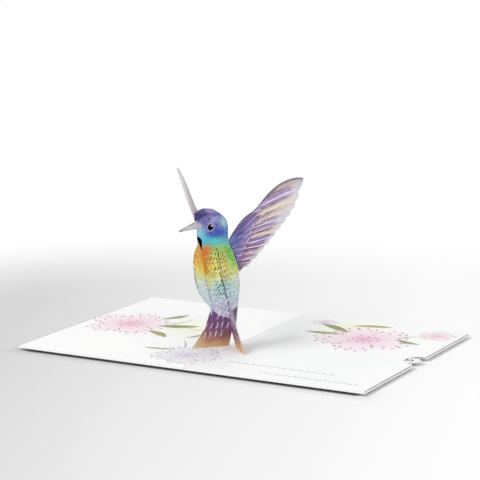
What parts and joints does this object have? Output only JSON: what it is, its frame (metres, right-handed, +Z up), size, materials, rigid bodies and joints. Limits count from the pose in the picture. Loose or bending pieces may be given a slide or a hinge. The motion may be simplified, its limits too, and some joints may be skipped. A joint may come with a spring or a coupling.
{
  "type": "pop up card",
  "caption": "Greeting card lying open, with a folded paper hummingbird standing on its fold and a pull-out note in a page pocket.",
  "frame": {"origin": "middle of the cover's underside, on the fold", "axes": "+X across the fold to the page with the pull-out note, +Y along the fold away from the bird's beak, +Z up"},
  "size_m": [0.254, 0.1823, 0.1179],
  "materials": {
    "cover_board": "smooth white cover board",
    "page_paper": "smooth white page with pale floral print",
    "note_paper": "smooth white note card",
    "tail_paper": "printed paper, plum to gold",
    "body_paper": "printed paper, blue to orange, green and teal",
    "crown_paper": "printed paper, navy",
    "beak_paper": "printed paper, grey",
    "wing_paper": "printed paper, purple with tan streaks"
  },
  "bodies": {
    "card": {"cover": "cover_board", "liner": "page_paper", "pocket_strip": "cover_board", "tail_fold": "tail_paper", "body_shell_left": "body_paper", "body_shell_right": "body_paper", "crown": "crown_paper", "beak": "beak_paper", "wing_left": "wing_paper", "wing_right": "wing_paper", "covert_left": "wing_paper", "covert_right": "wing_paper"},
    "note": {"note_card": "note_paper"}
  },
  "joints": [
    {"name": "note_slide", "type": "slide", "parent": "card", "child": "note", "axis": [1, 0, 0], "range_m": [0, 0.1]}
  ]
}
